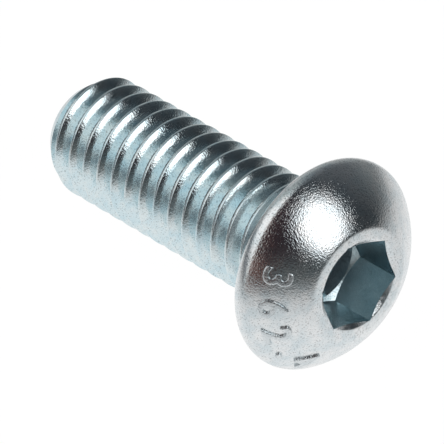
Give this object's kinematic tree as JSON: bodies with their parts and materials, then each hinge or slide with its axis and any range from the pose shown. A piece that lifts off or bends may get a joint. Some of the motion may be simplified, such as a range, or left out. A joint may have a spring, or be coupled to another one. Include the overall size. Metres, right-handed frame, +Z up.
{
  "type": "button head screw",
  "caption": "Button head screw with a low domed head, a hexagon socket and a right-hand thread over the whole shank, lying on its side.",
  "frame": {"origin": "middle of the screw's box, on the surface it lies on", "axes": "+X towards the tip along the table, +Z up; the screw's axis lies in the XZ plane and slopes 7.98 degrees down from the head to the tip"},
  "size_m": [0.0196, 0.0102, 0.0102],
  "materials": {
    "zinc_plated_steel": "bright blue-passivated zinc plating on cold-forged steel, slightly grained on the head"
  },
  "bodies": {
    "root": {"button_head_screw": "zinc_plated_steel"}
  },
  "joints": []
}
